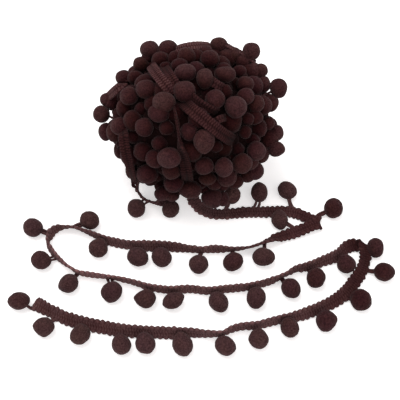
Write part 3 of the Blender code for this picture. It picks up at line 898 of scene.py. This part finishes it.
def read_between(table, share):
    """The value at share, in a table of (share, value) rows."""
    for (before, one), (after, two) in zip(table, table[1:]):
        if share <= after:
            return one + (two - one) * (share - before) / (after - before)


def light_along(sections, feet):
    """How brightly each section of the loose end shows: by its place along the tape, and
    a little more beside a pompom, whose felt throws light back on it."""
    lights = []
    for i in range(len(sections)):
        light = read_between(LOOSE_LIGHT, i / (len(sections) - 1))
        near = max(math.exp(-((i - foot) * ROUTE_STEP / (4 * MM)) ** 2) for foot in feet)
        lights.append(light * (1 + 0.2 * near))
    return lights


def dress_tape(name, node, route, pompom_nodes, slides, leans, felt, braid):
    """Tape, threads and pompoms of one stretch, in place of its CAD nodes."""
    rng = random.Random(STREWN + len(pompom_nodes))
    loose = node == "loose_tape"
    sections = smooth_sections(table_knots(route), ROUTE_STEP)
    feet = []
    strings = bmesh.new()
    for number, pompom in enumerate(pompom_nodes, 1):
        centre, half = node_place(pompom)
        reach = half.x
        centre += Vector((*leans.get(number, (0, 0)), 0)) * MM
        foot = foot_of(sections, centre, slides.get(number, 0))
        feet.append(foot)
        middle, run, edge = sections[foot]
        towards = (middle + edge * TAPE_WIDE / 2 - centre).normalized()
        light = 1.0
        shaped = {"drawn": (towards, 0.25)}
        spread = THREAD_SPREAD
        if loose:
            light, shift, half, shaped = loose_shape(number, half)
            centre += shift
        else:
            half = half * SLACK_SWELL
        if loose and number in FELTED_STEMS:
            spread = CLOSE_SPREAD
        pair_of_threads(strings, sections, foot, centre, reach, spread, 0.45 + 0.5 * light, rng)
        pulled = rng.uniform(0.02, 0.07)
        if loose and number in DRAWN_OUT:
            pulled = -0.10 - pulled
        bm = bmesh.new()
        felt_ball(bm, centre, half, 5, light, number * 3.1 + len(name),
                  dented=(towards, pulled), **shaped)
        ball = on_root(to_object(pompom + "_felt", bm, felt))
        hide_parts(pompom)
    strings = on_root(to_object(name + "_threads", strings, braid))
    bm = bmesh.new()
    tape(bm, sections, TAPE_AROUND, lights=light_along(sections, feet) if loose else None)
    ribbon = on_root(to_object(name, bm, braid))
    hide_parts(node)
    return ribbon, strings, sections


# ---------------------------------------------------------------- the ball

def seen_line(across, down):
    """Start and direction of the line of sight through the middle of an image pixel."""
    way = (-CAMERA_BACK + CAMERA_RIGHT * (across + 0.5 - IMAGE / 2) / SHARPNESS
           + CAMERA_UP * (IMAGE / 2 - (down + 0.5)) / SHARPNESS)
    return LOOK_AT + CAMERA_BACK * CAMERA_FAR, way.normalized()


def on_ball(across, down, depth):
    """The place seen at (across, down) that lies depth under the ball's surface. Past the
    ball's outline it is the place nearest to the ball."""
    start, way = seen_line(across, down)
    half = BALL_HALF - Vector((1, 1, 1)) * depth
    a = Vector((start[k] - BALL_MIDDLE[k]) / half[k] for k in range(3))
    b = Vector(way[k] / half[k] for k in range(3))
    nearest = -a.dot(b) / b.dot(b)
    spare = nearest ** 2 - (a.dot(a) - 1) / b.dot(b)
    return start + way * (nearest - math.sqrt(max(spare, 0)))


def out_of_ball(place):
    """The way out of the ball at a place."""
    return Vector((place[k] - BALL_MIDDLE[k]) / BALL_HALF[k] ** 2 for k in range(3)).normalized()


def under_ball(way, depth):
    """The place depth under the ball's surface, on the line from its middle along way."""
    return BALL_MIDDLE + Vector(way[k] * (BALL_HALF[k] - depth) for k in range(3))


def pixel_size(place):
    """Size of an image pixel at a place, in metres."""
    return (CAMERA_FAR - (place - LOOK_AT).dot(CAMERA_BACK)) / SHARPNESS


def face_pompoms(rng):
    """The pompoms on the ball's face: middle, radius, half sizes, and how felt_ball
    shapes each."""
    made = []
    for across, down, wide, tall, depth, side, far in BALL_FACE:
        pixel = pixel_size(on_ball(across, down, BALL_POMPOM / 2))
        half = Vector((wide / 2 * pixel, tall / 2 * pixel, (wide + tall) / 4 * pixel))
        radius = half.z
        place = on_ball(across, down, radius + depth * MM)
        place.z = max(place.z, radius * PRESSED)
        if not far:
            side = rng.uniform(0, 360)
            far = rng.uniform(0.05, 0.35)
        made.append((place, radius, half, {"turned": FACING, "drawn": (seen_way(side), far)}))
    return made


def spread_ways(count):
    """Evenly spread directions, on a spiral from pole to pole."""
    for i in range(count):
        z = 1 - 2 * (i + 0.5) / count
        level = math.sqrt(1 - z * z)
        yield Vector((level * math.cos(GOLDEN_ANGLE * i), level * math.sin(GOLDEN_ANGLE * i), z))


def covers_tape(place, radius, lanes):
    """True if a pompom there would hide the middle of a stretch of tape that shows."""
    for middle, run, edge, out in lanes:
        gap = place - middle
        if (gap.length < radius + 6 * MM and abs(gap.dot(edge)) < radius * 0.75 + 1.2 * MM
                and abs(gap.dot(run)) < 3 * MM and gap.dot(out) > 0.3 * MM - radius):
            return True
    return False


def fills_bay(place, radius, bays):
    """True if a pompom there would show in a bay of the outline."""
    return any((place - start).cross(way).length < radius * 1.1 for start, way in bays)


def packed_pompoms(face, lanes, rng):
    """Fills the sides of the ball that the camera doesn't see, then the gaps all over,
    layer by layer. Each layer is a list of (middle, radius, half sizes, shape). Each try
    draws equally many random values, whether it is kept or not."""
    taken = [(place, radius) for place, radius, half, shaped in face]
    bays = [seen_line(across, down) for across, down in BALL_BAYS]
    layers = []
    for depth, tries, close, wander, front in BALL_LAYERS:
        layer = []
        for way in spread_ways(tries):
            way = (way + Vector(rng.uniform(-0.05, 0.05) for k in range(3))).normalized()
            radius = BALL_POMPOM / 2 * rng.uniform(0.88, 1.06)
            half = Vector(radius * rng.uniform(0.93, 1.07) for k in range(3))
            sideways = rng.choice((-1, 1))
            far = max(rng.uniform(-0.5, 0.35), 0)
            sunk = (depth + wander * rng.uniform(-1, 1)) * MM + radius
            place = under_ball(way, sunk)
            place.z = max(place.z, radius * PRESSED)
            if out_of_ball(place).dot(CAMERA_BACK) > front:
                continue
            if any((place - other).length < (radius + other_radius) * close
                   for other, other_radius in taken):
                continue
            if covers_tape(place, radius, lanes) or fills_bay(place, radius, bays):
                continue
            taken.append((place, radius))
            aside = out_of_ball(place).cross(way + Vector((0.3, 0.2, 0.1))).normalized()
            layer.append((place, radius, half, {"drawn": (aside * sideways, far)}))
        layers.append(layer)
    return layers


def face_stretches():
    """The stretches of tape on the ball's face: light, width and sections of each."""
    made = []
    for light, wide, stretch in BALL_TAPES:
        places = [on_ball(across, down, depth * MM) for across, down, depth, turn in stretch]
        knots = []
        for i, place in enumerate(places):
            run = (places[min(i + 1, len(places) - 1)] - places[max(i - 1, 0)]).normalized()
            edge = run.cross(out_of_ball(place)).normalized()
            turn = math.radians(stretch[i][3])
            knots.append((place, Matrix.Rotation(turn, 3, run) @ edge))
        made.append((light, wide * BALL_TAPE_WIDE, smooth_sections(knots, 0.25 * MM)))
    return made


def back_stretches(rng):
    """Stretches of tape that show on the other sides: light, width and sections of each.
    Both ends of each dip under the pompoms."""
    made = []
    for way in spread_ways(24):
        if way.dot(CAMERA_BACK) > -0.05 or way.z < -0.55:
            continue
        aside = way.cross(Vector(rng.uniform(-1, 1) for k in range(3))).normalized()
        turn = math.radians(rng.uniform(-25, 25))
        knots = []
        for step in range(-3, 4):
            lean = math.radians(step * 9)
            there = (way * math.cos(lean) + aside * math.sin(lean)).normalized()
            place = under_ball(there, (2.8 + 0.75 * step * step) * MM)
            place.z = max(place.z, 4 * MM)
            edge = aside.cross(there).normalized()
            knots.append((place, Matrix.Rotation(turn, 3, aside) @ edge))
        made.append((0.85, BALL_TAPE_WIDE, smooth_sections(knots, 0.45 * MM)))
    return made


def lanes_of(stretches):
    """Every few sections of the stretches, with the way out of the ball."""
    return [(middle, run, edge, out_of_ball(middle))
            for light, wide, sections in stretches for middle, run, edge in sections[::8]]


def tape_piece(name, stretches, around, braid):
    """The piece that all these stretches of tape make up."""
    bm = bmesh.new()
    for light, wide, sections in stretches:
        tape(bm, sections, around, wide, in_the_ball, [light] * len(sections), TIGHT_LOOPS)
    return on_root(to_object(name, bm, braid))


def wound_turns():
    """The turns of tape under the pompoms, wound on each other in all directions."""
    stretches = []
    for turn in range(WOUND_TURNS):
        spin = (Matrix.Rotation(turn * GOLDEN_ANGLE, 3, "Z")
                @ Matrix.Rotation(1.1 + 0.11 * turn, 3, "X"))
        knots = []
        for degrees in range(0, 361, 10):
            angle = math.radians(degrees)
            sway = 0.16 * math.sin(angle * 3 + turn)
            way = (spin @ Vector((math.cos(angle), math.sin(angle), sway))).normalized()
            place = under_ball(way, TURN_DEPTH - TURN_RISE * turn)
            place.z = max(place.z, 3 * MM)
            knots.append((place, spin @ Vector((0, 0, 1))))
        # Painted shade: these turns lie deep in the ball, and are painted at half light.
        stretches.append((0.5, BALL_TAPE_WIDE, smooth_sections(knots, 0.8 * MM)))
    return stretches


def inner_heart(felt):
    """The inside of the ball, behind the turns, painted dark as shade."""
    bm = bmesh.new()
    half = BALL_HALF - Vector((1, 1, 1)) * HEART_DEPTH
    felt_ball(bm, BALL_MIDDLE, half, 4, 0.5, 5, reached=in_the_ball)
    return on_root(to_object("ball_heart", bm, felt))


def ball_pompoms(name, pompoms, felt, levels, light, rng):
    """The piece that all these pompoms make up, its shapes smoothed so many times."""
    bm = bmesh.new()
    for place, radius, half, shaped in pompoms:
        felt_ball(bm, place, half * BALL_SWELL, 2, light * rng.uniform(0.90, 1.10),
                  rng.uniform(0, 50), rough=0.025, uneven=2.3, reached=in_the_ball, **shaped)
    made = to_object(name, bm, felt)
    if levels:
        finer = made.modifiers.new("finer", "SUBSURF")
        finer.levels = levels
        finer.render_levels = levels
    return on_root(made)


def ball_threads(pompoms, braid, rng):
    """The threads of the ball's pompoms, down to the turns below them."""
    bm = bmesh.new()
    for place, radius, half, shaped in pompoms:
        inward = -out_of_ball(place)
        aside = inward.cross(Vector((rng.uniform(-1, 1), rng.uniform(-1, 1), 1))).normalized()
        start = place + inward * radius * 0.6
        end = place + inward * (radius + 5 * MM) + aside * rng.uniform(-4, 4) * MM
        end.z = max(end.z, 3 * MM)
        thread(bm, [start, (start + end) / 2 + aside * 0.6 * MM, end], THREAD_THICK, 0.85, 5)
    return on_root(to_object("ball_threads", bm, braid))


def build_ball(felt, braid):
    rng = random.Random(STREWN)
    face = face_pompoms(rng)
    front = face_stretches()
    back = back_stretches(random.Random(STREWN + 1))
    outer, second, third, fourth, fifth = packed_pompoms(
        face, lanes_of(front + back), random.Random(STREWN + 2))
    whole = ball_pompoms("ball_face", face, felt, 2, 0.92, rng)
    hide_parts("ball")
    ball_pompoms("ball_outer_pompoms", outer, felt, 1, 0.92, rng)
    ball_pompoms("ball_middle_pompoms", second + third, felt, 1, 0.9, rng)
    ball_pompoms("ball_deep_pompoms", fourth + fifth, felt, 0, 0.9, rng)
    ball_threads(face + outer + second + third, braid, rng)
    tape_piece("ball_tapes", front, 24, braid)
    tape_piece("ball_back_tapes", back, 20, braid)
    tape_piece("wound_turns", wound_turns(), 8, braid)
    inner_heart(felt)


# ---------------------------------------------------------------- the whole

def nodes_called(start):
    """The CAD nodes whose names begin so, in the order of their numbers."""
    return sorted(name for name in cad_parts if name.startswith(start))


make_camera()
light_the_room()
lay_floor()
pile = pile_group()
felt = cloth_material("felt", FELT_DEEP, FELT_TIPS, pile,
                      clump=1200, drift_scale=400, bump=0.9, sheen=0.11, richness=1.45)
braid = cloth_material("braid", BRAID_DEEP, BRAID_TIPS, pile,
                       clump=1500, drift_scale=220, bump=0.4, sheen=0.08, richness=1.3)

ribbon, strings, sections = dress_tape(
    "fringe_tape", "loose_tape", LOOSE_ROUTE, nodes_called("pompom_"), LOOSE_SLIDES, {},
    felt, braid)
dress_tape("slack_turn", "slack_tape", SLACK_ROUTE, nodes_called("slack_pompom_"), {},
           SLACK_LEANS, felt, braid)
build_ball(felt, braid)
